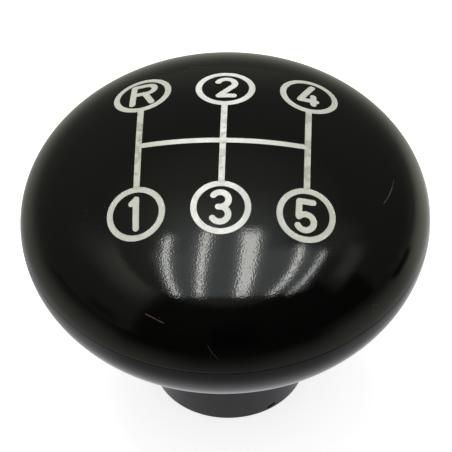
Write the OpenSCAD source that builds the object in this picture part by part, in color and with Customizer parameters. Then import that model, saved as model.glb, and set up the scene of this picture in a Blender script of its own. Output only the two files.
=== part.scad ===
// Gear shift knob: a moulded mushroom knob with an engraved and filled gate pattern.
// The foot of the collar stands on Z = 0, the knob's axis is Z, and +Y points to the row R-2-4.

/* [Cap] */
// Diameter of the cap at its widest level, where the mould parts
cap_d = 60; // [54:0.5:66]
// Height of the dome above the widest level
dome_h = 16.7; // [14:0.1:20]
// Depth that the belly's oval reaches below the widest level
belly_h = 18.1; // [15:0.1:20]

/* [Collar] */
// Height of the widest level above the foot
seam_h = 31.8; // [30:0.1:40]
// Diameter of the collar at its foot
collar_d = 22.8; // [22:0.1:28]
// Draft of the collar's wall, in degrees
collar_draft = 1.5; // [0.5:0.1:3]
// Radius of the fillet between the collar and the underside of the cap
neck_fillet = 5; // [3:0.5:8]
// Width of the chamfer around the foot
foot_chamfer = 0.25; // [0.1:0.05:0.6]

/* [Gate pattern] */
// Distance between neighbouring columns of the pattern
gate_pitch_x = 12.2; // [11:0.1:13]
// Distance from the cross line to each row of rings
gate_pitch_y = 11.8; // [10.5:0.1:12.5]
// Width of the gate lines
gate_line_w = 0.9; // [0.7:0.05:1.1]
// Outer radius of a ring
ring_outer_r = 4.35; // [4:0.05:4.6]
// Width of a ring's band
ring_band_w = 0.9; // [0.7:0.05:1.1]
// Height of a mark between the middles of its strokes
mark_h = 4.8; // [4.2:0.1:5]
// Width of the strokes of the marks
mark_stroke_w = 0.94; // [0.7:0.02:1]
// Depth of the engraving
engrave_d = 0.5; // [0.3:0.05:0.8]
// How far the filling stays below the surface of the dome
fill_drop = 0.08; // [0.05:0.01:0.2]

/* [Insert] */
// Distance across the flats of the hexagonal insert
insert_flats = 16; // [15:0.5:17]
// Length of the insert
insert_l = 20; // [18:0.5:22]
// How far the insert's face stands back from the foot
insert_recess = 0.3; // [0.1:0.1:1]
// Diameter of the round spigot turned on the insert's mouth
spigot_d = 15.4; // [14.5:0.1:16]
// Length of the spigot
spigot_l = 2.5; // [1.5:0.1:4]
// Root diameter of the groove that locks the insert in the moulding
lock_groove_d = 13.6; // [13:0.1:14.4]
// Width of the locking groove
lock_groove_w = 4; // [3:0.1:6]
// Crest diameter of the internal thread
thread_crest_d = 10.5; // [8.5:0.1:10.5]
// Depth of the threaded hole
thread_l = 15; // [12:0.5:16]
// Width of the chamfer at the mouth of the thread
thread_lead = 0.9; // [0.4:0.1:1.2]

/* [Hidden] */
$fn = 144;
cap_r = cap_d / 2;
collar_r = collar_d / 2;
// Radius of the middle of a ring's band, where the gate lines end
ring_mid_r = ring_outer_r - ring_band_w / 2;
// Height between stroke middles at which the marks are drawn below
drawn_mark_h = 4.8;
// Half width of the hairlines that offset() widens to a mark's strokes
hair = 0.01;
// Included angle of the drill point at the end of the threaded hole
drill_point = 118;
// Bands that make up the dome, and the belly
oval_bands = 30;
// Chords of the fillet under the cap
fillet_steps = 10;
// Length by which a cutter stands clear of what it cuts
spare = 1;

// Height and tilt of the dome's surface at a distance from the axis
function dome_rise(reach) = dome_h * sqrt(1 - pow(reach / cap_r, 2));
function dome_tilt(reach) = atan(pow(dome_h / cap_r, 2) * reach / dome_rise(reach));

// A point of the underside and the direction square to it, t degrees round the belly's oval
function belly_point(t) = [cap_r * sin(t), seam_h - belly_h * cos(t)];
function belly_normal(t) =
    let (n = [sin(t) / cap_r, -cos(t) / belly_h])
    n / norm(n);

// How far a fillet that touches the underside at t stands off the collar's wall
function fillet_centre(t) = belly_point(t) + neck_fillet * belly_normal(t);
function wall_gap(t) =
    let (c = fillet_centre(t))
    c[0] - collar_r - c[1] * tan(collar_draft) - neck_fillet / cos(collar_draft);

// Halves the span of t until the fillet touches the wall too
function fillet_touch(low, high, halvings) =
    let (middle = (low + high) / 2)
    halvings == 0
        ? middle
        : wall_gap(middle) > 0
            ? fillet_touch(low, middle, halvings - 1)
            : fillet_touch(middle, high, halvings - 1);

// Upper half of an oblate solid, turned up in narrow bands
module half_oval(r, h) {
    rotate_extrude()
        polygon([
            [0, 0],
            for (i = [0:oval_bands])
                let (t = 90 * i / oval_bands)
                [r * sin(t), h * cos(t)]
        ]);
}

module dome_solid(inset) {
    translate([0, 0, seam_h])
        half_oval(cap_r - inset, dome_h - inset);
}

module collar() {
    t = fillet_touch(5, 60, 24);
    centre = fillet_centre(t);
    inward = -belly_normal(t);
    start = 180 - collar_draft;
    turn = start - atan2(inward[1], inward[0]);
    arc = [
        for (i = [0:fillet_steps])
            let (angle = start - turn * i / fillet_steps)
            centre + neck_fillet * [cos(angle), sin(angle)]
    ];
    last_chord = arc[fillet_steps] - arc[fillet_steps - 1];
    rotate_extrude()
        polygon(concat(
            [
                [0, 0],
                [collar_r - foot_chamfer, 0],
                [collar_r + foot_chamfer * tan(collar_draft), foot_chamfer]
            ],
            [for (i = [0:fillet_steps - 1]) arc[i]],
            [
                arc[fillet_steps] + spare * last_chord / norm(last_chord),
                [0, seam_h - belly_h / 2]
            ]
        ));
}

// Stands its children on the dome at [x, y], square to the surface there
module on_dome(x, y) {
    reach = norm([x, y]);
    bearing = atan2(y, x);
    translate([x, y, seam_h + dome_rise(reach)])
        rotate([0, 0, bearing])
            rotate([0, dome_tilt(reach), 0])
                rotate([0, 0, -bearing])
                    children();
}

// What of its children lies above the floor of the engraving
module down_to_floor() {
    difference() {
        children();
        dome_solid(engrave_d);
    }
}

// The filling left in an engraved column
module filling() {
    color([0.82, 0.82, 0.78])
        intersection() {
            down_to_floor()
                children();
            dome_solid(fill_drop);
        }
}

module ring_column() {
    column_h = 2 * (engrave_d + spare);
    difference() {
        cylinder(h = column_h, r = ring_outer_r, center = true);
        cylinder(h = column_h + spare, r = ring_outer_r - ring_band_w, center = true);
    }
}

// The six rings and the lines that join them
module gate_columns() {
    for (x = [-gate_pitch_x, 0, gate_pitch_x]) {
        for (y = [-gate_pitch_y, gate_pitch_y])
            on_dome(x, y)
                ring_column();
        translate([x - gate_line_w / 2, ring_mid_r - gate_pitch_y, seam_h])
            cube([gate_line_w, 2 * (gate_pitch_y - ring_mid_r), dome_h + spare]);
    }
    translate([-gate_pitch_x, -gate_line_w / 2, seam_h])
        cube([2 * gate_pitch_x, gate_line_w, dome_h + spare]);
}

// Hairline from one point to another
module line(from, to) {
    run = to - from;
    translate(from)
        rotate(atan2(run[1], run[0]))
            translate([0, -hair])
                square([norm(run), 2 * hair]);
}

// Hairline along a circle, anticlockwise from one bearing to another
module bow(centre, r, from, to) {
    steps = 14;
    bearings = [for (i = [0:steps]) from + (to - from) * i / steps];
    translate(centre)
        polygon(concat(
            [for (b = bearings) (r + hair) * [cos(b), sin(b)]],
            [for (i = [steps:-1:0]) (r - hair) * [cos(bearings[i]), sin(bearings[i])]]
        ));
}

module lines_r() {
    line([-1.33, 2.4], [-1.33, -2.3]);
    line([-1.33, 2.4], [0.65, 2.4]);
    line([-1.33, 0.15], [0.65, 0.15]);
    bow([0.65, 1.275], 1.125, -90, 90);
    line([0.4, 0.15], [1.55, -2.3]);
}

module lines_1() {
    line([0.08, 2.3], [0.02, -2.4]);
    line([0.08, 2.3], [-0.6, 1.6]);
}

module lines_2() {
    bow([0.1, 1.15], 1.25, -40, 160);
    line([1.06, 0.35], [-0.9, -2.05]);
    line([-0.9, -2.05], [1.25, -2]);
}

module lines_3() {
    bow([-0.1, 1.2], 1.2, -90, 145);
    bow([-0.12, -1.2], 1.2, -150, 90);
    line([-0.35, 0], [-0.1, 0]);
}

module lines_4() {
    line([0.45, 2.45], [-1.4, -1.33]);
    line([-1.4, -1.33], [1, -1.33]);
    line([0.58, -0.1], [0.58, -2.15]);
}

module lines_5() {
    line([-1.12, 2.1], [0.9, 2.1]);
    line([-1.12, 2.1], [-1.12, -0.3]);
    bow([-0.1, -1.2], 1.25, -150, 141);
}

// The hairlines of one of the six marks, widened to strokes and set up in its ring
module mark_column(mark) {
    column = floor(mark / 2) - 1;
    on_dome(column * gate_pitch_x, mark % 2 == 0 ? gate_pitch_y : -gate_pitch_y)
        linear_extrude(height = 2 * (engrave_d + spare), center = true)
            offset(r = mark_stroke_w / 2 - hair, $fn = 24)
                scale(mark_h / drawn_mark_h) {
                    if (mark == 0) lines_r();
                    if (mark == 1) lines_1();
                    if (mark == 2) lines_2();
                    if (mark == 3) lines_3();
                    if (mark == 4) lines_4();
                    if (mark == 5) lines_5();
                }
}

// The insert's outer form, with its spigot drawn down to the given height
module insert_form(foot) {
    hex_foot = insert_recess + spigot_l;
    hex_l = insert_l - spigot_l;
    groove_foot = hex_foot + (hex_l - lock_groove_w) / 2;
    translate([0, 0, foot])
        cylinder(h = hex_foot - foot, d = spigot_d);
    difference() {
        translate([0, 0, hex_foot])
            cylinder(h = hex_l, d = insert_flats / cos(30), $fn = 6);
        translate([0, 0, groove_foot])
            difference() {
                cylinder(h = lock_groove_w, d = 2 * insert_flats);
                cylinder(h = lock_groove_w, d = lock_groove_d);
            }
    }
}

// The moulding, with the seat that it forms around the insert and the engraving
module knob_body() {
    color([0.03, 0.03, 0.032])
        difference() {
            union() {
                dome_solid(0);
                translate([0, 0, seam_h])
                    mirror([0, 0, 1])
                        half_oval(cap_r, belly_h);
                collar();
            }
            insert_form(-spare);
            down_to_floor()
                gate_columns();
            for (mark = [0:5])
                down_to_floor()
                    mark_column(mark);
        }
}

// The brass insert, with a blind hole at the size of its thread's crests
module threaded_insert() {
    crest_r = thread_crest_d / 2;
    color([0.72, 0.57, 0.3])
        difference() {
            insert_form(insert_recess);
            translate([0, 0, insert_recess])
                rotate_extrude()
                    polygon([
                        [0, -spare],
                        [crest_r + thread_lead + spare, -spare],
                        [crest_r + thread_lead, 0],
                        [crest_r, thread_lead],
                        [crest_r, thread_l],
                        [0, thread_l + crest_r / tan(drill_point / 2)]
                    ]);
        }
}

module gate_fill() {
    filling()
        gate_columns();
}

module mark_fill(mark) {
    filling()
        mark_column(mark);
}

knob_body();
threaded_insert();
gate_fill();
mark_fill(0);  // letter_r
mark_fill(1);  // numeral_1
mark_fill(2);  // numeral_2
mark_fill(3);  // numeral_3
mark_fill(4);  // numeral_4
mark_fill(5);  // numeral_5
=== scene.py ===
"""Looks of a gear shift knob: a glossy black moulding with an engraved and filled gate pattern,
and the brass insert that the lever screws into."""

import functools
import math

import bpy
import numpy as np
from bpy.props import FloatProperty, FloatVectorProperty, PointerProperty
from bpy.types import Operator, Panel, PropertyGroup
from mathutils import Matrix, Vector
from mathutils.geometry import delaunay_2d_cdt


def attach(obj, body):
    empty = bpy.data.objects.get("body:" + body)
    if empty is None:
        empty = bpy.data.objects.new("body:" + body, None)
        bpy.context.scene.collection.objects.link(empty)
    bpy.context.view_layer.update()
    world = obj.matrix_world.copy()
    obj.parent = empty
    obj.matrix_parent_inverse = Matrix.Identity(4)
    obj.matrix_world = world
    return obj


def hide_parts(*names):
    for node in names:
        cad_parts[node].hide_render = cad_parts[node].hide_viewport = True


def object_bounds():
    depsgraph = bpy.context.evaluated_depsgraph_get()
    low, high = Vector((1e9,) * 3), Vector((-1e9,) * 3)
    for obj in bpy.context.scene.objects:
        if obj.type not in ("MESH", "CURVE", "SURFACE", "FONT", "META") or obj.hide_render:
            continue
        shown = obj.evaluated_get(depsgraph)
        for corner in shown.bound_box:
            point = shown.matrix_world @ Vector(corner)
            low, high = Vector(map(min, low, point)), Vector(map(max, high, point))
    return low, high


bl_info = {
    "name": "Gear Shift Knob",
    "version": (1, 0, 0),
    "blender": (4, 5, 0),
    "location": "View3D > Sidebar > Shift Knob",
    "description": "Builds a mushroom shift knob with an engraved and filled gate pattern",
    "category": "Add Mesh",
}

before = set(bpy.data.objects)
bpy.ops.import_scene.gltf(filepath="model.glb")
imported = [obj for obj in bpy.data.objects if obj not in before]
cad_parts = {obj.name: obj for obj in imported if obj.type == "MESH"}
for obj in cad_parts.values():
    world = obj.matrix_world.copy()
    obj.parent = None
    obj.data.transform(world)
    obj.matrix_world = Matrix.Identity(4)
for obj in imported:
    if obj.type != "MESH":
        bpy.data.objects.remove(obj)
CAD_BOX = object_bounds()
CAD_REACH = min(abs(corner[axis]) for corner in CAD_BOX for axis in (0, 1))
SEAM_HEIGHT = 0.0318
MM = 0.001
TURN = 2 * math.pi


# Sizes and colours that a user would change


def length(name, description, default):
    """A size in metres."""
    return FloatProperty(
        name=name, description=description, default=default, min=0, unit="LENGTH", precision=5
    )


def angle(name, description, degrees):
    """An angle, given in degrees."""
    return FloatProperty(
        name=name, description=description, default=math.radians(degrees), unit="ROTATION"
    )


def colour(name, description, default):
    """A linear colour."""
    return FloatVectorProperty(
        name=name, description=description, default=default, subtype="COLOR", min=0, max=1
    )


def amount(name, description, default):
    """A plain number."""
    return FloatProperty(name=name, description=description, default=default, min=0)


class KnobMouldingSettings(PropertyGroup):
    cap_radius: length("Cap radius", "Radius of the cap at its widest level", CAD_REACH)
    dome_height: length(
        "Dome height", "Height of the dome above the widest level", CAD_BOX[1][2] - SEAM_HEIGHT
    )
    belly_depth: length("Belly depth", "Reach of the belly's oval below the widest level", 0.0181)
    seam_height: length("Seam height", "Height of the widest level above the foot", SEAM_HEIGHT)
    collar_radius: length("Collar radius", "Radius of the collar at its foot", 0.0114)
    collar_draft: angle("Collar draft", "Draft of the collar's wall", 1.5)
    neck_fillet: length("Neck fillet", "Radius under the cap", 0.005)
    foot_chamfer: length("Foot chamfer", "Width of the broken edge around the foot", 0.00025)
    seam_width: length("Seam width", "Width of the mark that the mould's parting leaves", 0.00020)
    seam_depth: length("Seam depth", "Depth of the mark that the mould's parting leaves", 0.00005)
    black: colour("Black", "Colour of the moulding", (0.0004, 0.0004, 0.00042))
    polish: amount("Polish", "Roughness of the polished moulding", 0.05)


class KnobGateSettings(PropertyGroup):
    pitch_x: length("Column pitch", "Distance between neighbouring columns", 0.0122)
    pitch_y: length("Row pitch", "Distance from the cross line to each row of rings", 0.0118)
    line_width: length("Line width", "Width of the gate lines", 0.0009)
    ring_radius: length("Ring radius", "Outer radius of a ring", 0.00435)
    ring_band: length("Ring band", "Width of a ring's band", 0.0009)
    mark_stroke: length("Mark stroke", "Width of the strokes of the marks", 0.00094)
    engraving_depth: length("Engraving depth", "Depth of the engraving", 0.0005)
    filling_drop: length("Filling drop", "How far the middle of the filling has sunk", 0.00008)
    edge_softness: length("Edge softness", "Width of the buffed edge of the engraving", 0.00006)
    enamel: colour("Enamel", "Colour of the filling", (0.80, 0.81, 0.75))


class KnobInsertSettings(PropertyGroup):
    flats: length("Across flats", "Distance across the flats of the insert", 0.016)
    body_length: length("Length", "Length of the insert", 0.020)
    recess: length("Recess", "How far the insert's face stands back from the foot", 0.0003)
    spigot_radius: length("Spigot radius", "Radius of the round spigot at the mouth", 0.0077)
    spigot_length: length("Spigot length", "Length of the spigot", 0.0025)
    groove_radius: length("Groove radius", "Radius at the root of the locking groove", 0.0068)
    groove_width: length("Groove width", "Width of the locking groove", 0.004)
    crest_radius: length("Crest radius", "Radius at the crests of the thread", 0.00525)
    thread_depth: length("Thread depth", "Depth of the thread's profile", 0.0008)
    thread_pitch: length("Thread pitch", "Pitch of the thread", 0.0015)
    thread_length: length("Thread length", "Depth of the threaded hole", 0.015)
    lead_width: length("Lead width", "Width of the chamfer at the mouth", 0.0009)
    brass: colour("Brass", "Colour of the insert", (0.62, 0.43, 0.17))


class KnobStageSettings(PropertyGroup):
    camera_azimuth: angle("Camera azimuth", "Bearing of the camera, right of the front", 2.92)
    camera_elevation: angle("Camera elevation", "Height of the camera above the horizon", 47.35)
    camera_roll: angle("Camera roll", "Turn of the camera about its line of sight", -1.70)
    camera_distance: length("Camera distance", "Distance from the camera to the knob", 0.700)
    lens: amount("Lens", "Focal length in millimetres, on a 36 mm sensor", 381.1)
    floor: colour("Floor", "Colour of the floor", (0.88, 0.88, 0.88))
    key_strength: amount("Key strength", "Light of the soft panel overhead, in watts", 2.50)
    fill_strength: amount("Fill strength", "Level of the even light from all round", 0.55)


# Shader sockets that take part in arithmetic


class Wire:
    """A shader socket; sums, products and powers of wires add Math nodes."""

    def __init__(self, graph, socket):
        self.graph = graph
        self.socket = socket

    def __add__(self, other):
        return self.graph.maths("ADD", self, other)

    def __sub__(self, other):
        return self.graph.maths("SUBTRACT", self, other)

    def __rsub__(self, other):
        return self.graph.maths("SUBTRACT", other, self)

    def __mul__(self, other):
        return self.graph.maths("MULTIPLY", self, other)

    def __truediv__(self, other):
        return self.graph.maths("DIVIDE", self, other)

    def __rtruediv__(self, other):
        return self.graph.maths("DIVIDE", other, self)

    def __pow__(self, other):
        return self.graph.maths("POWER", self, other)

    def __abs__(self):
        return self.graph.maths("ABSOLUTE", self)

    __radd__ = __add__
    __rmul__ = __mul__

    def larger(self, other):
        return self.graph.maths("MAXIMUM", self, other)

    def smaller(self, other):
        return self.graph.maths("MINIMUM", self, other)

    def ease(self, start, end):
        """0 up to start, 1 from end on, and a smooth rise between; also with start above end."""
        return self.graph.node(
            "ShaderNodeMapRange",
            {"interpolation_type": "SMOOTHSTEP"},
            {"Value": self, "From Min": start, "From Max": end},
        )

    def window(self, low, high, soft):
        """1 between low and high, with soft edges."""
        return self.ease(low - soft, low + soft) * self.ease(high + soft, high - soft)

    def ease_degrees(self, start, end):
        return self.ease(math.radians(start), math.radians(end))

    def window_degrees(self, low, high, soft):
        return self.window(math.radians(low), math.radians(high), math.radians(soft))


def strongest(wires):
    """The largest of some wires, place by place."""
    return functools.reduce(Wire.larger, wires)


def total(wires):
    """The sum of some wires."""
    return functools.reduce(Wire.__add__, wires)


class Graph:
    """A node tree that is written as expressions."""

    def __init__(self, tree):
        self.tree = tree
        tree.nodes.clear()

    def node(self, kind, settings=None, sockets=None, out=0):
        """Adds a node: its settings first, then the values or links of its sockets."""
        made = self.tree.nodes.new(kind)
        for name, value in (settings or {}).items():
            setattr(made, name, value)
        for key, value in (sockets or {}).items():
            if isinstance(value, Wire):
                self.tree.links.new(value.socket, made.inputs[key])
            else:
                made.inputs[key].default_value = value
        if isinstance(out, tuple):
            return [Wire(self, made.outputs[key]) for key in out]
        return Wire(self, made.outputs[out]) if made.outputs else None

    def maths(self, operation, *parts):
        return self.node("ShaderNodeMath", {"operation": operation}, dict(enumerate(parts)))

    def place(self):
        return self.node("ShaderNodeTexCoord", out="Object")

    def rays(self):
        """Whether a ray comes from the camera, also through glass, and whether from a gloss."""
        kinds = ("Is Camera Ray", "Is Transmission Ray", "Is Glossy Ray")
        seen, through, mirrored = self.node("ShaderNodeLightPath", out=kinds)
        return seen + through, mirrored

    def vector(self, operation, *parts, out=0):
        return self.node(
            "ShaderNodeVectorMath", {"operation": operation}, dict(enumerate(parts)), out
        )

    def noise(self, place, scale, detail=2.0, roughness=0.5):
        return self.node(
            "ShaderNodeTexNoise",
            {},
            {"Vector": place, "Scale": scale, "Detail": detail, "Roughness": roughness},
        )

    def mix(self, factor, first, second):
        """Mixes two colours."""
        return self.node(
            "ShaderNodeMix", {"data_type": "RGBA"}, {0: factor, 6: first, 7: second}, out=2
        )

    def layered(self, base, *layers):
        """A colour with others laid over it, each by its own factor."""
        for factor, colour in layers:
            base = self.mix(factor, base, colour)
        return base

    def tint(self, colour, level):
        """A colour at a varying level."""
        return self.node(
            "ShaderNodeVectorMath", {"operation": "SCALE"}, {0: colour, "Scale": level}
        )

    def tints(self, *parts):
        """The sum of some colours, each at its own level."""
        parts = [self.tint(colour, level) for colour, level in parts]
        return functools.reduce(functools.partial(self.vector, "ADD"), parts)

    def split(self, vector):
        return self.node("ShaderNodeSeparateXYZ", {}, {0: vector}, out=(0, 1, 2))

    def stretched(self, place, scale, turn=(0, 0, 0)):
        return self.node(
            "ShaderNodeMapping", {}, {"Vector": place, "Rotation": turn, "Scale": scale}
        )

    def bump(self, height, distance):
        return self.node("ShaderNodeBump", {}, {"Height": height, "Distance": distance})

    def principled(self, base, rough, normal, **constants):
        """Closes a material with its one surface."""
        sockets = {"Base Color": base, "Roughness": rough, "Normal": normal, **constants}
        surface = self.node("ShaderNodeBsdfPrincipled", {}, sockets)
        self.node("ShaderNodeOutputMaterial", {}, {"Surface": surface})

    def streak(self, place, start, end, half_width, ragged=0.0):
        """1 on the line between two points given in millimetres, falling to 0 at its sides."""
        start, end = Vector(start) * MM, Vector(end) * MM
        run = end - start
        off = self.vector("SUBTRACT", place, tuple(start))
        along = self.vector("DOT_PRODUCT", off, tuple(run / run.length_squared), out=1)
        along = along.larger(0).smaller(1)
        nearest = self.tint(tuple(run), along)
        reach = self.vector("DISTANCE", off, nearest, out=1)
        if ragged:
            reach = reach + self.noise(place, 2600) * ragged * MM
        return reach.ease(half_width * MM, half_width * MM * 0.3)

    def spots(self, place, centres, run, half_width):
        """Short streaks that all run the same way."""
        return strongest(
            self.streak(place, centre, Vector(centre) + Vector(run), half_width)
            for centre in centres
        )


def new_material(name):
    material = bpy.data.materials.new(name)
    material.use_nodes = True
    return material, Graph(material.node_tree)


def white(value):
    """A grey of one value as a colour."""
    return (value, value, value, 1)


# Meshes whose corners carry the direction that they shine in. Below, m, g, n and s are the
# settings of the moulding, the gate, the insert and the stage.


class Shell:
    """Collects points and faces, in millimetres, with a normal for each face corner."""

    def __init__(self):
        self.points = []
        self.faces = []
        self.normals = []
        self.count = 0

    def add(self, points, faces, normals):
        """faces index the given points, and normals holds one direction for each face corner."""
        faces = np.asarray(faces, dtype=int)
        self.points.append(np.asarray(points, dtype=float))
        self.faces.append(faces + self.count)
        self.normals.append(np.asarray(normals, dtype=float).reshape(-1, 3))
        self.count += len(points)

    def band(self, first, second, first_normals=None, second_normals=None):
        """Faces between two closed loops of points, flat ones where no normals are given."""
        count = len(first)
        here = np.arange(count)
        after = (here + 1) % count
        faces = np.stack([here, here + count, after + count, after], axis=1)
        points = np.concatenate([first, second])
        if first_normals is None:
            across = points[faces[:, 2]] - points[faces[:, 0]]
            other = points[faces[:, 3]] - points[faces[:, 1]]
            flat = unit(np.cross(across, other))
            normals = np.repeat(flat[:, None], 4, axis=1)
        else:
            both = np.concatenate([first_normals, second_normals])
            normals = both[faces]
        self.add(points, faces, normals)

    def piece(self, name, material, node):
        """Welds what was collected into one mesh that stands for a CAD node."""
        points = np.concatenate(self.points)
        _, kept, place = np.unique(
            np.round(points * 2e4).astype(np.int64), axis=0, return_index=True, return_inverse=True
        )
        place = place.ravel()
        faces = []
        normals = []
        for group, directions in zip(self.faces, self.normals):
            size = group.shape[1]
            directions = directions.reshape(-1, size, 3)
            welded = place[group]
            following = np.roll(welded, -1, axis=1)
            whole = (welded != following).all(axis=1)
            faces += welded[whole].tolist()
            normals.append(directions[whole].reshape(-1, 3))
            for face, ways in zip(welded[~whole], directions[~whole]):
                keep = [i for i in range(size) if face[i] != face[(i + 1) % size]]
                if len(keep) >= 3:
                    faces.append([int(face[i]) for i in keep])
                    normals.append(ways[keep])
        mesh = bpy.data.meshes.new(name)
        mesh.from_pydata((points[kept] * MM).tolist(), [], faces)
        mesh.polygons.foreach_set("use_smooth", [True] * len(mesh.polygons))
        mesh.normals_split_custom_set(unit(np.concatenate(normals)).tolist())
        mesh.update()
        made = bpy.data.objects.new(name, mesh)
        bpy.context.scene.collection.objects.link(made)
        mesh.materials.append(material)
        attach(made, "root")
        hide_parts(node)
        return made


def unit(vectors):
    vectors = np.asarray(vectors, dtype=float)
    size = np.linalg.norm(vectors, axis=-1, keepdims=True)
    return vectors / np.maximum(size, 1e-12)


def loop(radius, height, count):
    """A closed loop about the knob's axis; the radius may vary around it."""
    turn = np.arange(count) * TURN / count
    radius = np.broadcast_to(radius, count)
    return np.stack([radius * np.cos(turn), radius * np.sin(turn), np.full(count, height)], axis=1)


def hexagon(flats, count):
    """Radius around a hexagon with a corner at angle 0."""
    turn = np.degrees(np.arange(count) * TURN / count) % 60
    return flats / 2 / np.cos(np.radians(turn - 30))


def spin(shell, profile, directions, count):
    """Turns a profile of (radius, height) about the axis, with its own normals."""
    loops = [loop(r, z, count) for r, z in profile]
    ways = [loop(r, z, count) for r, z in directions]
    for i in range(len(loops) - 1):
        shell.band(loops[i], loops[i + 1], ways[i], ways[i + 1])


def stack(shell, path, count):
    """Flat bands between the loops of a path of (radius, height)."""
    loops = [loop(radius, height, count) for radius, height in path]
    for first, second in zip(loops, loops[1:]):
        shell.band(first, second)


def wall(shell, top, floor, edges, ways):
    """Faces from a border of the upper surface straight down to the same border of the floor."""
    first, second = edges.T
    count = len(top)
    faces = np.column_stack([first, second, second + count, first + count])
    shell.add(np.concatenate([top, floor]), faces, np.concatenate([ways, ways])[faces])


class Sizes:
    """One group of settings, in millimetres and degrees."""

    def __init__(self, settings):
        self.settings = settings

    def __getattr__(self, name):
        kind = self.settings.bl_rna.properties[name]
        value = getattr(self.settings, name)
        if kind.unit == "LENGTH":
            return value / MM
        return math.degrees(value) if kind.unit == "ROTATION" else value


# The moulding's form


def dome_points(m, plan, drop=0.0):
    """Points of the dome above a plan, or below its surface along the normal by drop."""
    plan = np.asarray(plan, dtype=float)
    rise = m.dome_height * np.sqrt(1 - (plan**2).sum(axis=1) / m.cap_radius**2)
    points = np.column_stack([plan, rise])
    ways = dome_normals(m, points)
    points = points - ways * np.broadcast_to(drop, len(plan))[:, None]
    points[:, 2] += m.seam_height
    return points


def dome_normals(m, points):
    """Normals of the dome at points measured from the centre of its oval."""
    return unit(points / np.array([m.cap_radius**2, m.cap_radius**2, m.dome_height**2]))


def on_dome(m, centre, outline):
    """Plan of an outline that stands at centre, square to the dome, and runs down to it."""
    centre = np.asarray(centre, dtype=float)
    reach = math.hypot(*centre)
    bearing = math.atan2(centre[1], centre[0])
    rise = m.dome_height * math.sqrt(1 - (reach / m.cap_radius) ** 2)
    tilt = math.atan((m.dome_height / m.cap_radius) ** 2 * reach / rise)
    ahead = Matrix.Rotation(bearing, 3, "Z")
    turn = np.array(ahead @ Matrix.Rotation(tilt, 3, "Y") @ ahead.transposed())
    start = np.array([*centre, rise]) + np.column_stack([outline, np.zeros(len(outline))]) @ turn.T
    way = turn[:, 2]
    shrink = 1 / np.array([m.cap_radius, m.cap_radius, m.dome_height])
    o, d = start * shrink, way * shrink
    a, b, c = d @ d, o @ d, (o**2).sum(axis=1) - 1
    step = (-b + np.sqrt(b**2 - a * c)) / a
    return (start + step[:, None] * way)[:, :2]


# Points along each part of the moulding's outside
DOME_STEPS = 64
SEAM_STEPS = 17
BELLY_STEPS = 72
NECK_STEPS = 22
COLLAR_STEPS = 9
CHAMFER_STEPS = 7


def moulding_profile(m):
    """The outside below the patterned part of the dome: profile points and normals."""
    sections = []
    half = m.seam_width / 2
    draft = math.radians(m.collar_draft)
    foot = -m.seam_height

    def edge(z):
        oval = m.dome_height if z >= 0 else m.belly_depth
        side = m.cap_radius * math.sqrt(1 - (z / oval) ** 2)
        if abs(z) < half:
            side -= m.seam_depth * (1 + math.cos(math.pi * z / half)) / 2
        return side

    top = math.asin(PATCH_RADIUS / m.cap_radius)
    low = math.acos(half / m.dome_height)
    turns = np.linspace(top, low, DOME_STEPS)
    points = np.column_stack([m.cap_radius * np.sin(turns), m.dome_height * np.cos(turns)])
    sections.append((points, points / [m.cap_radius**2, m.dome_height**2]))

    heights = np.linspace(half, -half, SEAM_STEPS)
    points = np.array([(edge(z), z) for z in heights])
    step = 1e-4
    slopes = [(edge(z + step) - edge(z - step)) / 2 / step for z in heights]
    sections.append((points, np.array([(1, -slope) for slope in slopes])))

    touch = neck_touch(m)
    turns = np.linspace(math.acos(half / m.belly_depth), touch, BELLY_STEPS)
    points = np.column_stack([m.cap_radius * np.sin(turns), -m.belly_depth * np.cos(turns)])
    sections.append((points, points / [m.cap_radius**2, m.belly_depth**2]))

    point, normal = belly(m, touch)
    centre = point + m.neck_fillet * normal
    start = math.atan2(-normal[1], -normal[0])
    end = math.pi - draft
    turns = np.linspace(start, end, NECK_STEPS)
    ways = np.column_stack([np.cos(turns), np.sin(turns)])
    sections.append((centre + m.neck_fillet * ways, -ways))

    out = np.array([math.cos(draft), -math.sin(draft)])
    upper = centre + m.neck_fillet * ways[-1]
    lower = np.array([m.collar_radius + m.foot_chamfer * math.tan(draft), foot + m.foot_chamfer])
    points = upper + (lower - upper) * np.linspace(0, 1, COLLAR_STEPS)[:, None]
    sections.append((points, np.tile(out, (COLLAR_STEPS, 1))))

    turns = np.linspace(0, math.pi / 2, CHAMFER_STEPS)
    corner = np.array([lower[0] - m.foot_chamfer, foot + m.foot_chamfer])
    ways = np.column_stack([np.cos(turns), -np.sin(turns)])
    sections.append((corner + m.foot_chamfer * ways, ways))
    return [(points + [0, m.seam_height], unit(normals)) for points, normals in sections]


def insert_side(n, count):
    """The insert's side as (radius, height), from its top down to the spigot; its seat fits it."""
    hexed = hexagon(n.flats, count)
    foot = n.recess + n.spigot_length
    top = n.recess + n.body_length
    groove = foot + (top - foot - n.groove_width) / 2
    return [
        (hexed, top),
        (hexed, groove + n.groove_width),
        (n.groove_radius, groove + n.groove_width),
        (n.groove_radius, groove),
        (hexed, groove),
        (hexed, foot),
        (n.spigot_radius, foot),
    ]


def belly(m, turn):
    """A point of the underside and its normal, turn radians up the oval from its pole."""
    point = np.array([m.cap_radius * math.sin(turn), -m.belly_depth * math.cos(turn)])
    return point, unit(point / [m.cap_radius**2, m.belly_depth**2])


def neck_touch(m):
    """Where on the belly's oval the fillet that runs into the collar's wall starts."""
    draft = math.radians(m.collar_draft)
    low, high = math.radians(5), math.radians(60)
    for _ in range(40):
        middle = (low + high) / 2
        point, normal = belly(m, middle)
        centre = point + m.neck_fillet * normal
        height = centre[1] + m.seam_height
        wall = m.collar_radius + height * math.tan(draft)
        gap = centre[0] - wall - m.neck_fillet / math.cos(draft)
        low, high = (low, middle) if gap > 0 else (middle, high)
    return low


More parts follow.
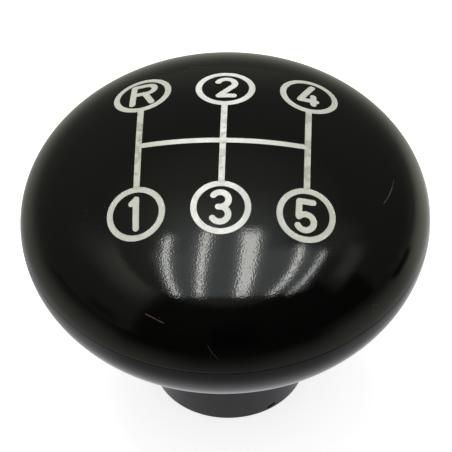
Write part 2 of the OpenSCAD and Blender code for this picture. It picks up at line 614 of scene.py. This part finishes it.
# Sides of the turned faces, and chamfers of the insert and its seat, in millimetres
INSERT_SIDES = 180
SPIGOT_CHAMFER = 0.15
SEAT_CHAMFER = 0.12
# The thread: its loops, the shares of half a turn that its crest and its flank take up, the
# plain length at the end of the bore in millimetres, and half the drill's point in degrees
THREAD_LOOPS = 196
CREST_SHARE = 0.12
FLANK_SHARE = 0.70
RUN_OUT = 1.2
DRILL_ANGLE = 59


# The engraved pattern, drawn as strokes in millimetres

# Outlines nested in each engraved shape, and how far each lies from its wall
FILLING_LEVELS = (("wall", 0.0), ("slope", -0.14), ("bed", -0.28))
# At each of them, the share of the full drop that the filling has sunk, and how far it leans
MENISCUS = {"bed": (0.92, 0.06), "slope": (0.64, 0.20), "wall": (0.3, 0.34)}
PATCH_RADIUS = 23.0
PATCH_SIDES = 360
# Grid of points between the outlines: its step, its rows' share of it, and its gaps
GRID_STEP = 0.8
ROW_RATIO = 0.87
BORDER_GAP = 0.35
OUTLINE_GAP = 0.3
# Column and row of each mark
MARKS = {
    "letter_r": (-1, 1),
    "numeral_1": (-1, -1),
    "numeral_2": (0, 1),
    "numeral_3": (0, -1),
    "numeral_4": (1, 1),
    "numeral_5": (1, -1),
}
# Centre lines of each mark, from the middle of its ring
MARK_STROKES = {
    "letter_r": (
        ((-1.33, 2.4), (-1.33, -2.3)),
        ((-1.33, 2.4), (0.65, 2.4)),
        ((-1.33, 0.15), (0.65, 0.15)),
        ((0.65, 1.275), 1.125, -90, 90),
        ((0.4, 0.15), (1.55, -2.3)),
    ),
    "numeral_1": (((0.08, 2.3), (0.02, -2.4)), ((0.08, 2.3), (-0.6, 1.6))),
    "numeral_2": (
        ((0.1, 1.15), 1.25, -40, 160),
        ((1.06, 0.35), (-0.9, -2.05)),
        ((-0.9, -2.05), (1.25, -2)),
    ),
    "numeral_3": (
        ((-0.1, 1.2), 1.2, -90, 145),
        ((-0.12, -1.2), 1.2, -150, 90),
        ((-0.35, 0), (-0.1, 0)),
    ),
    "numeral_4": (
        ((0.45, 2.45), (-1.4, -1.33)),
        ((-1.4, -1.33), (1, -1.33)),
        ((0.58, -0.1), (0.58, -2.15)),
    ),
    "numeral_5": (
        ((-1.12, 2.1), (0.9, 2.1)),
        ((-1.12, 2.1), (-1.12, -0.3)),
        ((-0.1, -1.2), 1.25, -150, 141),
    ),
}


def straight(start, end):
    """A straight stroke as closely spaced points."""
    start, end = np.array(start, dtype=float), np.array(end, dtype=float)
    steps = max(2, math.ceil(np.linalg.norm(end - start) / 0.5) + 1)
    return start + (end - start) * np.linspace(0, 1, steps)[:, None]


def bow(centre, radius, start, end):
    """A stroke along a circle, between two bearings in degrees."""
    turn = np.radians(np.linspace(start, end, max(4, round(abs(end - start) / 7) + 1)))
    return np.array(centre) + radius * np.column_stack([np.cos(turn), np.sin(turn)])


def stroke_path(stroke):
    """Centre line of a stroke: from point to point, or a centre, a radius and two bearings."""
    return straight(*stroke) if len(stroke) == 2 else bow(*stroke)


def ribbon(path, half):
    """Outline of a stroke with round ends, anticlockwise."""
    run = unit(np.gradient(path, axis=0))
    side = np.column_stack([-run[:, 1], run[:, 0]])
    ends = []
    for point, way in ((path[-1], run[-1]), (path[0], -run[0])):
        bearing = math.atan2(way[1], way[0])
        turn = bearing + np.linspace(-math.pi / 2, math.pi / 2, 11)[1:-1]
        ends.append(point + half * np.column_stack([np.cos(turn), np.sin(turn)]))
    return np.concatenate([path - half * side, ends[0], (path + half * side)[::-1], ends[1]])


def circle(radius, count=120):
    return loop(radius, 0, count)[:, :2]


class Pattern:
    """The plan of the engraving, cut into triangles that know what they belong to."""

    def __init__(self, m, g):
        self.m = m
        self.g = g
        self.outlines = []
        self.labels = []
        for level, grow in (("rim", g.edge_softness), *FILLING_LEVELS):
            self.draw_gate(level, grow)
            for mark in MARKS:
                self.draw_mark(mark, level, grow)
        self.triangulate()

    def centre(self, mark):
        column, row = MARKS[mark]
        return (column * self.g.pitch_x, row * self.g.pitch_y)

    def outline(self, points, *label):
        self.outlines.append(points)
        self.labels.append(label)

    def draw_gate(self, level, grow):
        g = self.g
        for mark in MARKS:
            centre = self.centre(mark)
            self.outline(on_dome(self.m, centre, circle(g.ring_radius + grow)), "gate", level, True)
            inner = circle(g.ring_radius - g.ring_band - grow, 96)
            self.outline(on_dome(self.m, centre, inner), "gate", level, False)
        half = g.line_width / 2 + grow
        reach = g.pitch_y - g.ring_radius + g.ring_band / 2
        for x in (-g.pitch_x, 0, g.pitch_x):
            stroke = straight((x, -reach), (x, reach))
            self.outline(ribbon(stroke, half), "gate", level, True)
        stroke = straight((-g.pitch_x, 0), (g.pitch_x, 0))
        self.outline(ribbon(stroke, half), "gate", level, True)

    def draw_mark(self, mark, level, grow):
        for stroke in MARK_STROKES[mark]:
            shape = ribbon(stroke_path(stroke), self.g.mark_stroke / 2 + grow)
            self.outline(on_dome(self.m, self.centre(mark), shape), mark, level, True)

    def triangulate(self):
        border = circle(PATCH_RADIUS, PATCH_SIDES)
        drawn = np.concatenate(self.outlines)
        span = np.arange(-PATCH_RADIUS, PATCH_RADIUS, GRID_STEP)
        row_step = GRID_STEP * ROW_RATIO
        last = math.ceil(PATCH_RADIUS / row_step)
        rows = [
            np.column_stack([span + i % 2 * GRID_STEP / 2, np.full(len(span), i) * row_step])
            for i in range(-last, last + 1)
        ]
        grid = np.concatenate(rows)
        grid = grid[np.hypot(*grid.T) < PATCH_RADIUS - BORDER_GAP]
        nearest = np.array([np.min(np.hypot(*(drawn - point).T)) for point in grid])
        grid = grid[nearest > OUTLINE_GAP]
        plan = np.concatenate([border, *self.outlines, grid])
        faces = []
        start = len(border)
        for outline in self.outlines:
            faces.append(list(range(start, start + len(outline))))
            start += len(outline)
        ring = [(i, (i + 1) % PATCH_SIDES) for i in range(PATCH_SIDES)]
        made, _, triangles, sources, _, owners = delaunay_2d_cdt(
            [Vector(p) for p in plan], ring, faces, 0, 1e-5, True
        )
        self.plan = np.array([plan[s[0]] if s else made[i] for i, s in enumerate(sources)])
        self.triangles = np.array([t for t in triangles if len(t) == 3])
        owners = [o for t, o in zip(triangles, owners) if len(t) == 3]
        a, b, c = (self.plan[self.triangles[:, k]] for k in range(3))
        (ab_x, ab_y), (ac_x, ac_y) = (b - a).T, (c - a).T
        turned = ab_x * ac_y - ab_y * ac_x
        self.triangles[turned < 0] = self.triangles[turned < 0][:, ::-1]
        self.zones = {}
        for name in ("gate", *MARKS):
            for level, _ in FILLING_LEVELS:
                self.zones[name, level] = self.belongs(owners, name, level)

    def belongs(self, owners, name, level):
        """Which triangles lie in a shape: in one of its outlines and in no hole of its ring."""
        solid = [k for k, label in enumerate(self.labels) if label == (name, level, True)]
        holes = [k for k, label in enumerate(self.labels) if label == (name, level, False)]
        inside = np.zeros(len(owners), dtype=bool)
        lines = set(solid[len(MARKS) :]) if name == "gate" else set(solid)
        rings = list(zip(solid, holes)) if name == "gate" else []
        for i, found in enumerate(owners):
            found = set(found)
            inside[i] = bool(found & lines) or any(a in found and b not in found for a, b in rings)
        return inside

    def border(self, zone):
        """Directed edges around a zone, which lies to their left."""
        triangles = self.triangles[zone]
        edges = np.concatenate([triangles[:, [0, 1]], triangles[:, [1, 2]], triangles[:, [2, 0]]])
        known = {tuple(edge) for edge in edges.tolist()}
        return np.array([edge for edge in edges.tolist() if (edge[1], edge[0]) not in known])

    def outward(self, edges):
        """For each plan point, the direction out of the zone at its border."""
        run = self.plan[edges[:, 1]] - self.plan[edges[:, 0]]
        side = unit(np.column_stack([run[:, 1], -run[:, 0]]))
        total = np.zeros_like(self.plan)
        np.add.at(total, edges[:, 0], side)
        np.add.at(total, edges[:, 1], side)
        return np.column_stack([unit(total), np.zeros(len(total))])


# Finishes


def moulding_material(m):
    """Polished black thermoset with dust, hairlines and the wear of years in a hand."""
    material, graph = new_material("black_moulding")
    place = graph.place()
    x, y, z = graph.split(place)
    height = m.seam_height * MM
    cloud = graph.noise(place, 90, 3)
    grain = graph.noise(place, 4500, 0)
    lines = total(
        graph.noise(graph.stretched(place, (1, 34, 8), turn), scale, 1).ease(cut, cut + 0.05)
        for turn, scale, cut in HAIRLINES
    )
    dust = graph.node("ShaderNodeTexVoronoi", {}, {"Vector": place, "Scale": 420})
    dust = dust.ease(0.06, 0.03) * graph.noise(place, 160, 1).ease(0.58, 0.66) * 0.35
    dust = dust.larger(graph.spots(place, SPECKS, (0.05, 0, 0), 0.11))

    def scuffs(strokes):
        return strongest(
            graph.streak(place, start, end, half, half * 0.5) * weight
            for start, end, half, weight in strokes
        )

    pale, pink = scuffs(SCRATCHES), scuffs(SCRAPES)
    nick = graph.streak(place, *NICK)
    seam = z.ease(height - 0.0011, height - 0.0001) * z.ease(height + 0.0004, height)
    # Painted highlight: a pale line just above the parting line, fading out towards the right.
    seam_highlight = z.window(height + 0.00005, height + 0.00028, 0.00008) * x.ease(0.012, -0.004)
    buffing = graph.noise(graph.stretched(place, (1, 1, 30)), 420, 2)
    inside = (x * x + y * y).ease(0.0112**2, 0.0110**2) * z.ease(0.0006, 0.0002)

    base = graph.layered(
        (*m.black, 1),
        (cloud.ease(0.35, 0.75) * 0.5, white(0.0010)),
        (dust * 0.35, (0.05, 0.05, 0.047, 1)),
        (pale, (0.16, 0.155, 0.14, 1)),
        (pink, (0.30, 0.17, 0.16, 1)),
        (nick, white(0.0005)),
        # the painted highlight above the parting line
        (seam_highlight * 0.6, white(0.035)),
    )
    rough = m.polish + cloud.ease(0.3, 0.8) * 0.02 + lines * 0.05 + dust * 0.3
    rough = rough + pale * 0.35 + pink * 0.35 + seam * 0.1 + inside * 0.2 + nick * 0.9
    relief = grain * 0.52 + lines * -0.10 + dust * 0.5 + pale * -1.2 + pink * -1.5 + nick * -4.0
    relief = relief + seam * buffing * 0.6
    graph.principled(base, rough, graph.bump(relief, 0.00001), IOR=1.5)
    return material


def enamel_material(g):
    """Dried off-white enamel, pressed by hand into the engraving and wiped flush."""
    material, graph = new_material("white_filling")
    place = graph.place()
    x, y, _ = graph.split(place)
    blotches = graph.noise(place, 700, 3, 0.6)
    shade = graph.noise(place, 2600, 2, 0.6)
    cloud = graph.noise(place, 260, 2)
    soot = graph.noise(place, 1400, 3, 0.7).ease(0.58, 0.76)
    worn = graph.noise(place, 560, 1).ease(0.47, 0.56)
    chips = graph.spots(place, CHIPS, (0.25, 0.2, 0), 0.16)

    def ring_side_shade(column, row):
        """Painted shade on a ring's right side, and on its left side too in the right column."""
        across, along = x - column * g.pitch_x * MM, y - row * g.pitch_y * MM
        toward = abs(across) if column > 0 else across
        reach = across * across + along * along
        return toward.ease(0.0014, 0.0042) * reach.ease(0.0050**2, 0.0048**2)

    # Painted shade: each ring greyer on its right side, and on both sides in the right column.
    darker = total(ring_side_shade(*spot) for spot in MARKS.values())
    outer = abs(abs(x) - g.pitch_x * MM).ease(0.0007, 0.0004)
    upright = outer.larger(abs(x).ease(0.0007, 0.0004) * 0.6) * abs(y).ease(0.0080, 0.0074)
    base = graph.layered(
        (*g.enamel, 1),
        (blotches.ease(0.4, 0.7), (0.90, 0.91, 0.86, 1)),
        (shade.ease(0.3, 0.75) * 0.25, (0.50, 0.50, 0.44, 1)),
        # Painted shade: the two outer columns greyer than the middle one, on the slopes of the
        # dome.
        (abs(x).ease(0.005, 0.011) * 0.62, (0.43, 0.44, 0.34, 1)),
        (cloud.ease(0.45, 0.62) * 0.30, (0.52, 0.53, 0.47, 1)),
        # the painted shade on the sides of the rings
        (darker * 0.38, (0.42, 0.43, 0.37, 1)),
        (upright * (0.02 + worn * 0.60 + soot * 0.4), (0.34, 0.35, 0.30, 1)),
        (chips * 0.7, (0.16, 0.16, 0.13, 1)),
        (soot * 0.4, (0.25, 0.25, 0.22, 1)),
    )
    relief = graph.bump(blotches + shade * 0.5, 0.00020)
    graph.principled(base, 0.07 + blotches * 0.10, relief, IOR=1.5)
    return material


def brass_material(n):
    """Turned brass, bright on the crests and dull in the thread's roots."""
    material, graph = new_material("brass")
    place = graph.place()
    x, y, z = graph.split(place)
    reach = (x * x + y * y) ** 0.5
    rings = graph.node(
        "ShaderNodeTexNoise",
        {"noise_dimensions": "1D"},
        {"W": reach * 9000 + z * 2500, "Scale": 1.0, "Detail": 2.0},
    )
    cloud = graph.noise(place, 260, 4, 0.6)
    tarnish = graph.noise(place, 130, 3, 0.6).ease(0.42, 0.7)
    crest = (n.crest_radius + 0.1) * MM
    deep = reach.ease(crest, crest + 0.0005) * z.ease(0.0006, 0.0014)
    base = graph.layered(
        (*n.brass, 1),
        (tarnish, (0.36, 0.24, 0.09, 1)),
        (deep * 0.6, (0.14, 0.09, 0.035, 1)),
        (cloud.ease(0.62, 0.8) * 0.5, (0.20, 0.13, 0.06, 1)),
    )
    rough = 0.24 + tarnish * 0.2 + deep * 0.15 + rings * 0.1
    graph.principled(base, rough, graph.bump(rings + cloud * 0.4, 0.00002), Metallic=1.0)
    return material


# Fine lines of polishing: turn of their run in radians, scale, and the level that they start at
HAIRLINES = (
    ((0.2, 0.1, 0.6), 40, 0.70),
    ((0.1, -0.2, 2.1), 46, 0.71),
    ((-0.2, 0.1, 1.3), 52, 0.72),
)
# Marks of use, in millimetres: start, end, half width, weight
SCRATCHES = (
    ((24.60, -0.93, 41.34), (24.39, -2.41, 41.43), 0.10, 0.35),
    ((24.39, -2.41, 41.43), (23.97, -4.14, 41.58), 0.13, 0.55),
    ((23.97, -4.14, 41.58), (23.18, -6.07, 41.85), 0.12, 0.40),
    ((-5.37, 18.48, 44.61), (-2.67, 17.73, 45.19), 0.10, 0.25),
    ((-1.55, -28.75, 36.50), (-0.98, -29.22, 35.54), 0.11, 0.26),
    ((-0.98, -29.22, 35.54), (-0.07, -29.61, 34.48), 0.10, 0.20),
    ((-0.98, -29.25, 35.46), (-1.28, -29.55, 34.60), 0.08, 0.10),
    ((21.79, -19.66, 35.25), (22.51, -19.18, 34.61), 0.07, 0.22),
    ((22.51, -19.18, 34.61), (22.37, -19.68, 33.76), 0.07, 0.22),
    ((22.37, -19.68, 33.76), (21.80, -20.13, 34.26), 0.07, 0.22),
    ((21.80, -20.13, 34.26), (21.79, -19.66, 35.25), 0.07, 0.22),
)
SCRAPES = (((-10.38, -25.06, 38.93), (-7.85, -26.35, 38.48), 0.14, 0.42),)
# Chips in the enamel of the upright lines
CHIPS = (
    (-12.04, 4.24, 46.91),
    (-12.29, 3.21, 46.93),
    (-12.27, 1.12, 47.03),
    (-0.01, 2.49, 48.44),
    (-0.05, 1.25, 48.49),
    (0.01, -0.56, 48.50),
    (-0.22, -5.28, 48.24),
    (11.92, -0.53, 47.12),
    (12.05, 4.28, 46.91),
)
# Nick at the collar's foot: start, end, half width
NICK = ((6.15, -9.62, 0.72), (6.89, -9.10, 0.94), 0.45)
# Specks of dust
SPECKS = (
    (-19.78, -11.20, 42.70),
    (-19.51, -9.23, 43.40),
    (-16.72, -9.65, 44.58),
    (-17.44, -12.43, 43.49),
    (-25.82, -4.51, 39.92),
    (-8.43, -25.77, 38.95),
    (-16.75, -11.27, 44.15),
)


# Operators


class KNOB_OT_moulding(Operator):
    """Builds the black moulding with its engraving, and the seat around the insert"""

    bl_idname = "knob.moulding"
    bl_label = "Build Moulding"

    def execute(self, context):
        scene = context.scene
        m, g, n = Sizes(scene.knob_moulding), Sizes(scene.knob_gate), Sizes(scene.knob_insert)
        pattern = Pattern(m, g)
        shell = Shell()
        self.engrave(shell, pattern, m, g)
        for points, normals in moulding_profile(m):
            spin(shell, points, normals, PATCH_SIDES)
        self.line_seat(shell, m, n)
        shell.piece("knob_moulding", moulding_material(m), "knob_body")
        return {"FINISHED"}

    @staticmethod
    def engrave(shell, pattern, m, g):
        """The patterned top, with walls and a floor where the gate and the marks are cut."""
        cut = np.zeros(len(pattern.triangles), dtype=bool)
        for name in ("gate", *MARKS):
            cut |= pattern.zones[name, "wall"]
        edges = pattern.border(cut)
        away = pattern.outward(edges)
        drop = np.zeros(len(pattern.plan))
        drop[np.unique(edges)] = g.edge_softness / 2
        top = dome_points(m, pattern.plan, drop)
        floor = dome_points(m, pattern.plan, g.engraving_depth)
        ways = dome_normals(m, top - [0, 0, m.seam_height])
        soft = unit(ways - 0.8 * away)
        plain = pattern.triangles[~cut]
        shell.add(top, plain, soft[plain])
        shell.add(floor, pattern.triangles[cut], ways[pattern.triangles[cut]])
        wall(shell, top, floor, edges, -away)

    @staticmethod
    def line_seat(shell, m, n):
        """The foot's face and the hollow that the moulding forms around the insert."""
        side = insert_side(n, PATCH_SIDES)
        corner = m.collar_radius + m.foot_chamfer * math.tan(math.radians(m.collar_draft))
        path = [
            (corner - m.foot_chamfer, 0),
            (n.spigot_radius + SEAT_CHAMFER, 0),
            (n.spigot_radius, 0.1),
            *reversed(side),
            (0, side[0][1]),
        ]
        stack(shell, path, PATCH_SIDES)


class KNOB_OT_fillings(Operator):
    """Builds the white fillings of the gate pattern and of its six marks"""

    bl_idname = "knob.fillings"
    bl_label = "Build Fillings"

    def execute(self, context):
        scene = context.scene
        m, g = Sizes(scene.knob_moulding), Sizes(scene.knob_gate)
        pattern = Pattern(m, g)
        material = enamel_material(g)
        self.fill(pattern, "gate", "gate_filling", "gate_fill", m, g, material)
        for mark in MARKS:
            self.fill(pattern, mark, mark + "_filling", mark, m, g, material)
        return {"FINISHED"}

    @staticmethod
    def fill(pattern, zone_name, name, node, m, g, material):
        """A closed body of enamel that creeps up a little at its edges."""
        zone = pattern.zones[zone_name, "wall"]
        drop = np.full(len(pattern.plan), g.filling_drop)
        lean = np.zeros((len(pattern.plan), 3))
        for level, (sunk, steep) in MENISCUS.items():
            edges = pattern.border(pattern.zones[zone_name, level])
            away = pattern.outward(edges)
            rim = np.unique(edges)
            drop[rim] = g.filling_drop * sunk
            lean[rim] = away[rim] * steep
        top = dome_points(m, pattern.plan, drop)
        floor = dome_points(m, pattern.plan, g.engraving_depth)
        ways = dome_normals(m, top - [0, 0, m.seam_height])
        triangles = pattern.triangles[zone]
        faces = np.concatenate([triangles, triangles[:, ::-1] + len(top)])
        shell = Shell()
        shell.add(
            np.concatenate([top, floor]), faces, np.concatenate([unit(ways - lean), -ways])[faces]
        )
        wall(shell, top, floor, edges[:, ::-1], away)
        shell.piece(name, material, node)


class KNOB_OT_insert(Operator):
    """Builds the brass insert with its internal thread"""

    bl_idname = "knob.insert"
    bl_label = "Build Insert"

    def execute(self, context):
        n = Sizes(context.scene.knob_insert)
        shell = Shell()
        side = insert_side(n, INSERT_SIDES)
        foot = n.recess
        path = [
            (0, side[0][1]),
            *side,
            (n.spigot_radius, foot + SPIGOT_CHAMFER),
            (n.spigot_radius - SPIGOT_CHAMFER, foot),
            (n.crest_radius + n.lead_width, foot),
        ]
        stack(shell, path, INSERT_SIDES)
        self.cut_thread(shell, n, INSERT_SIDES, foot)
        shell.piece("threaded_insert_turned", brass_material(n), "threaded_insert")
        return {"FINISHED"}

    @staticmethod
    def cut_thread(shell, n, count, foot):
        """The bore as closely spaced loops whose radius follows the thread."""
        end = foot + n.thread_length
        heights = np.linspace(foot, end, THREAD_LOOPS)
        turn = np.arange(count) / count
        loops = []
        for z in heights:
            phase = np.abs(((z - foot) / n.thread_pitch - turn) % 1 - 0.5) * 2
            depth = np.clip((phase - CREST_SHARE) / FLANK_SHARE, 0, 1) * n.thread_depth
            fade = np.clip(end - RUN_OUT - z, 0, 1)
            lead = n.crest_radius + max(0, n.lead_width - (z - foot))
            radius = np.maximum(n.crest_radius + depth * fade, lead)
            if z == foot:
                radius = np.full(count, n.crest_radius + n.lead_width)
            loops.append(loop(radius, z, count))
        grid = np.array(loops)
        around = np.roll(grid, -1, axis=1) - np.roll(grid, 1, axis=1)
        along = np.gradient(grid, axis=0)
        ways = unit(np.cross(along, around))
        for i in range(len(loops) - 1):
            shell.band(loops[i], loops[i + 1], ways[i], ways[i + 1])
        tip = end + n.crest_radius / math.tan(math.radians(DRILL_ANGLE))
        shell.band(loops[-1], loop(0, tip, count))


# Half the floor's side, and how far it lies below the foot so that the two never coincide
FLOOR_REACH = 6
FLOOR_DROP = 0.00002
# The soft panel overhead, in metres: its sides, its place, and the way that it faces
PANEL_SIZE = (0.5, 0.4)
PANEL_PLACE = (-0.06, 0.16, 0.62)
PANEL_AIM = (0.06, -0.16, -0.58)
# How far the picture is moved over the camera's axis
CAMERA_SHIFT = (0.0017, -0.0165)
# Ceiling lamps as the dome mirrors them: place across, lean, bend, half width, start, level
CEILING_LAMPS = (
    (-0.402, -0.27, 0.30, 0.014, -0.07, 11.0),
    (-0.143, -0.21, 0.04, 0.013, -0.10, 11.0),
    (0.118, -0.03, -0.03, 0.015, -0.085, 9.5),
    (0.168, -0.03, -0.03, 0.015, -0.085, 9.5),
    (0.515, 0.04, -0.50, 0.016, 0.03, 10.5),
    (0.763, -0.08, -0.36, 0.013, 0.075, 8.0),
)


def floor_material(s):
    """Nearly white to the camera, and to the gloss a pool of light that fades with distance."""
    material, graph = new_material("pale_floor")
    direct, mirrored = graph.rays()
    x, y, _ = graph.split(graph.place())
    reach = (x * x + y * y) ** 0.5
    bearing = graph.maths("ARCTAN2", x, y * -1.0)
    pool = 0.33 / (1.0 + (reach / 0.150) ** 3.0) + 0.09 + y.ease(0.0, 0.08) * 0.06
    pool = pool + bearing.window_degrees(98, 142, 12) * reach.ease(0.30, 0.10) * 0.28
    sides = bearing.ease_degrees(-35, -75).larger(bearing.ease_degrees(58, 88) * 1.3)
    pool = pool + sides * reach.ease(0.075, 0.050) * 0.12

    ahead = bearing.window_degrees(-50, 49, 10)
    wide = abs(bearing).ease_degrees(10, 34) * 0.034 + 0.086
    shade = 1 - ahead * (1 - 1.0 / (1.0 + (reach / wide) ** 3.0))
    shade = shade * (1 - ahead * reach.window(0.040, 0.058, 0.008) * 0.26)
    # A dark patch in the floor as only the gloss sees it: a painted dark reflection on the dome.
    dark_reflection = bearing.window_degrees(89, 105, 2.5) * reach.window(0.155, 0.30, 0.03)
    shade = shade * (1 - dark_reflection * 0.8)
    pool = pool * shade + ahead * reach.ease(0.085, 0.15) * 0.035

    reflected = graph.tints(
        ((1.0, 1.0, 0.86), pool),
        ((0.97, 0.98, 1.08), reach.ease(0.043, 0.017) * 0.28),
        ((0.0, 0.0, 1.0), pool * reach.ease(0.075, 0.050) * 0.14),
    )
    lit = graph.node("ShaderNodeBsdfDiffuse", {}, {"Color": (*s.floor, 1)})
    shown = graph.tint((1, 1, 1), direct * 0.70)
    shown = graph.node("ShaderNodeEmission", {}, {"Color": shown})
    both = graph.node("ShaderNodeAddShader", {}, {0: lit, 1: shown})
    gloss = graph.node("ShaderNodeEmission", {}, {"Color": reflected})
    surface = graph.node("ShaderNodeMixShader", {}, {0: mirrored, 1: both, 2: gloss})
    graph.node("ShaderNodeOutputMaterial", {}, {"Surface": surface})
    return material


def mirrored_room(graph, s):
    """The dim room and its ceiling lamps, by direction; its front faces the camera's side."""
    way = graph.node(
        "ShaderNodeVectorRotate",
        {"rotation_type": "Z_AXIS"},
        {
            "Vector": graph.node("ShaderNodeTexCoord", out="Generated"),
            "Angle": -s.camera_azimuth,
        },
    )
    x, y, z = graph.split(way)
    front = y * -1.0
    up = z.larger(0.1)
    u, v = x / up, front / up
    bearing = graph.maths("ARCTAN2", x, front)
    height = graph.maths("ARCSINE", z)

    def field(across, upward):
        """1 in a field of directions: from, to and softness in degrees, across and upward."""
        return bearing.window_degrees(*across) * height.window_degrees(*upward)

    dark = field((-48, 62, 3.5), (-90, 50.5, 3.5)).larger(field((52, 78, 2.5), (-90, 28, 3)))
    dark = dark.larger(field((-74, -57, 4), (2, 12, 4)) * 0.6)
    ahead = field((-10, 14, 6), (-90, 30, 7))
    behind = abs(bearing).ease_degrees(164, 174) * z.ease(0.45, 0.15)
    room = (0.14 + z.ease(0.10, 0.60) * 0.04) * (1 - x * 0.12) + z.ease(0.62, 0.97) * 0.19
    room = room * (1 - dark * 0.75 - ahead * 0.15) + behind * 0.07

    glow = bearing.window_degrees(-97, -52, 14) * height.ease_degrees(51.5, 47)
    glow = glow * height.ease_degrees(28, 50) * 0.48
    glow = glow + field((70, 93, 5), (31, 40.5, 4)) * 0.33
    glow = glow + field((84, 106, 8), (38, 54, 6)) * 0.13
    glow = glow + field((-112, -92, 8), (28, 44, 6)) * 0.08

    haze = v.ease(-0.04, 0.12) * u.window(-0.51, 0.79, 0.07)
    haze = haze.larger(v.ease(-0.52, 0.12) * u.window(-0.36, 0.30, 0.22))
    haze = haze * v.ease(0.68, 0.59) * z.ease(0.4, 0.5) * 0.80

    def lamp(at, lean, bend, half, start, level):
        """One lamp along the ceiling, with its halo, narrower towards its far end."""
        along = v - 0.1
        off = abs(u - (at + along * lean + along * along * bend))
        begun = v.ease(start - 0.05, start + 0.05)
        tube = (off + v.ease(0.48, 0.68) * 0.010).ease(half + 0.022, half - 0.014) * level
        return (tube + off.ease(half + 0.09, half) * 1.25) * begun

    lamps = total(lamp(*row) for row in CEILING_LAMPS)
    lamps = lamps * (v - u.larger(0) * 0.06).ease(0.67, 0.61) * z.ease(0.4, 0.5)
    return graph.tints(
        ((0.95, 1.0, 0.84), room + glow), ((0.89, 1.0, 1.05), haze), ((1.0, 1.0, 0.94), lamps)
    )


class KNOB_OT_stage(Operator):
    """Sets the floor, the soft light, the room that the gloss mirrors, and the camera"""

    bl_idname = "knob.stage"
    bl_label = "Set Stage"

    def execute(self, context):
        scene = context.scene
        s = scene.knob_stage
        seam = scene.knob_moulding.seam_height
        self.lay_floor(scene, s)
        self.light_room(scene, s)
        self.hang_lamp(scene, s)
        self.aim_camera(scene, s, seam)
        scene.view_settings.view_transform = "Standard"
        return {"FINISHED"}

    @staticmethod
    def lay_floor(scene, s):
        corners = ((-1, -1), (1, -1), (1, 1), (-1, 1))
        mesh = bpy.data.meshes.new("floor")
        mesh.from_pydata(
            [(x * FLOOR_REACH, y * FLOOR_REACH, -FLOOR_DROP) for x, y in corners],
            [],
            [(0, 1, 2, 3)],
        )
        floor = bpy.data.objects.new("floor", mesh)
        scene.collection.objects.link(floor)
        mesh.materials.append(floor_material(s))

    @staticmethod
    def light_room(scene, s):
        """White behind the knob for the camera, and a dim room with ceiling lamps for the gloss."""
        world = bpy.data.worlds.new("room")
        world.use_nodes = True
        scene.world = world
        graph = Graph(world.node_tree)
        direct, mirrored = graph.rays()
        shown = direct.smaller(1)
        even = s.fill_strength * (1 - shown) * (1 - mirrored) + shown
        light = graph.tints(((1, 1, 1), even), (mirrored_room(graph, s), mirrored))
        background = graph.node("ShaderNodeBackground", {}, {"Color": light})
        graph.node("ShaderNodeOutputWorld", {}, {"Surface": background})

    @staticmethod
    def hang_lamp(scene, s):
        lamp = bpy.data.lights.new("soft_panel", "AREA")
        lamp.shape = "RECTANGLE"
        lamp.size, lamp.size_y = PANEL_SIZE
        lamp.energy = s.key_strength
        hung = bpy.data.objects.new("soft_panel", lamp)
        hung.location = PANEL_PLACE
        hung.rotation_euler = Vector(PANEL_AIM).to_track_quat("-Z", "Y").to_euler()
        hung.visible_glossy = False
        scene.collection.objects.link(hung)

    @staticmethod
    def aim_camera(scene, s, seam):
        """The camera of the photograph, a little off the front and high above the knob."""
        camera = bpy.data.cameras.new("camera")
        camera.sensor_width = 36
        camera.lens = s.lens
        camera.shift_x, camera.shift_y = CAMERA_SHIFT
        camera.clip_start = 0.01
        camera.clip_end = 50
        target = Vector((0, 0, seam))
        across = math.cos(s.camera_elevation)
        back = Vector(
            (
                across * math.sin(s.camera_azimuth),
                -across * math.cos(s.camera_azimuth),
                math.sin(s.camera_elevation),
            )
        )
        right = Vector((0, 0, 1)).cross(back).normalized()
        upward = back.cross(right)
        roll = s.camera_roll
        side = math.cos(roll) * right + math.sin(roll) * upward
        top = -math.sin(roll) * right + math.cos(roll) * upward
        stand = bpy.data.objects.new("camera", camera)
        turn = Matrix((side, top, back)).transposed().to_4x4()
        stand.matrix_world = Matrix.Translation(target + back * s.camera_distance) @ turn
        scene.collection.objects.link(stand)
        scene.camera = stand


class KNOB_PT_sidebar(Panel):
    """Lists the knob's sizes, and the buttons that build its pieces"""

    bl_idname = "KNOB_PT_sidebar"
    bl_label = "Shift Knob"
    bl_space_type = "VIEW_3D"
    bl_region_type = "UI"
    bl_category = "Shift Knob"

    def draw(self, context):
        for group, (_, operator) in GROUPS.items():
            box = self.layout.box()
            settings = getattr(context.scene, group)
            for name in settings.__annotations__:
                box.prop(settings, name)
            box.operator(operator.bl_idname)


GROUPS = {
    "knob_stage": (KnobStageSettings, KNOB_OT_stage),
    "knob_moulding": (KnobMouldingSettings, KNOB_OT_moulding),
    "knob_gate": (KnobGateSettings, KNOB_OT_fillings),
    "knob_insert": (KnobInsertSettings, KNOB_OT_insert),
}
CLASSES = (*(made for pair in GROUPS.values() for made in pair), KNOB_PT_sidebar)


def register():
    for made in CLASSES:
        bpy.utils.register_class(made)
    for name, (settings, _) in GROUPS.items():
        setattr(bpy.types.Scene, name, PointerProperty(type=settings))


def unregister():
    for name in GROUPS:
        delattr(bpy.types.Scene, name)
    for made in reversed(CLASSES):
        bpy.utils.unregister_class(made)


def main():
    register()
    bpy.ops.knob.stage()
    bpy.ops.knob.moulding()
    bpy.ops.knob.fillings()
    bpy.ops.knob.insert()


if __name__ == "__main__":
    main()
